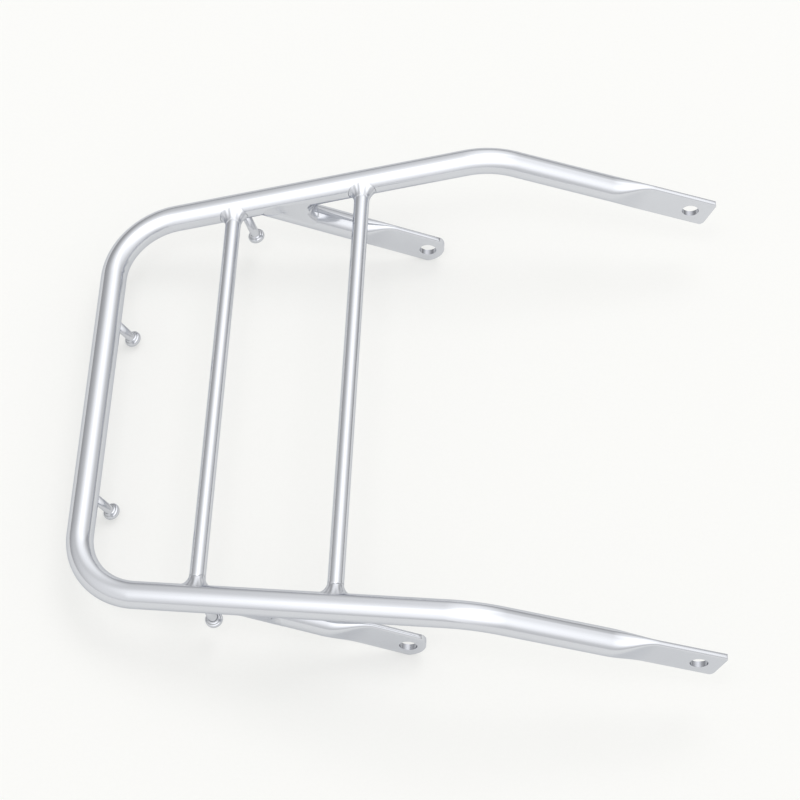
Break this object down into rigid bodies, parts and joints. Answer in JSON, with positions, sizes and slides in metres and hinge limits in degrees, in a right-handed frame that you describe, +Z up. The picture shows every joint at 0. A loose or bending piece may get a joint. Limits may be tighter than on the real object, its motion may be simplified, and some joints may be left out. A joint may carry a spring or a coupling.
{
  "type": "motorcycle luggage rack",
  "caption": "Welded tube luggage rack for a motorcycle: a U-shaped carrier with crossing rods, flattened bolt tabs on its legs and stays, and strap pins below",
  "frame": {"origin": "on the axis of the rear bar, midway between the rails, at the height of the carrying tube's axis", "axes": "+X forward along the rack, +Y to its left, +Z up with the carrying frame level"},
  "size_m": [0.375, 0.3296, 0.093],
  "materials": {
    "tube": "bright chrome plate on tube",
    "rod": "bright chrome plate on rod",
    "pin": "chrome plate on turned pins",
    "weld": "chrome plate over weld"
  },
  "bodies": {
    "root": {"main_tube": "tube", "rear_rod": "rod", "front_rod": "rod", "stay_left": "tube", "stay_right": "tube", "rear_pin_left": "pin", "rear_pin_right": "pin", "side_pin_left": "pin", "side_pin_right": "pin", "rear_rod_weld_left": "weld", "rear_rod_weld_right": "weld", "front_rod_weld_left": "weld", "front_rod_weld_right": "weld", "stay_weld_left": "weld", "stay_weld_right": "weld", "rear_pin_weld_left": "weld", "rear_pin_weld_right": "weld", "side_pin_weld_left": "weld", "side_pin_weld_right": "weld"}
  },
  "joints": []
}
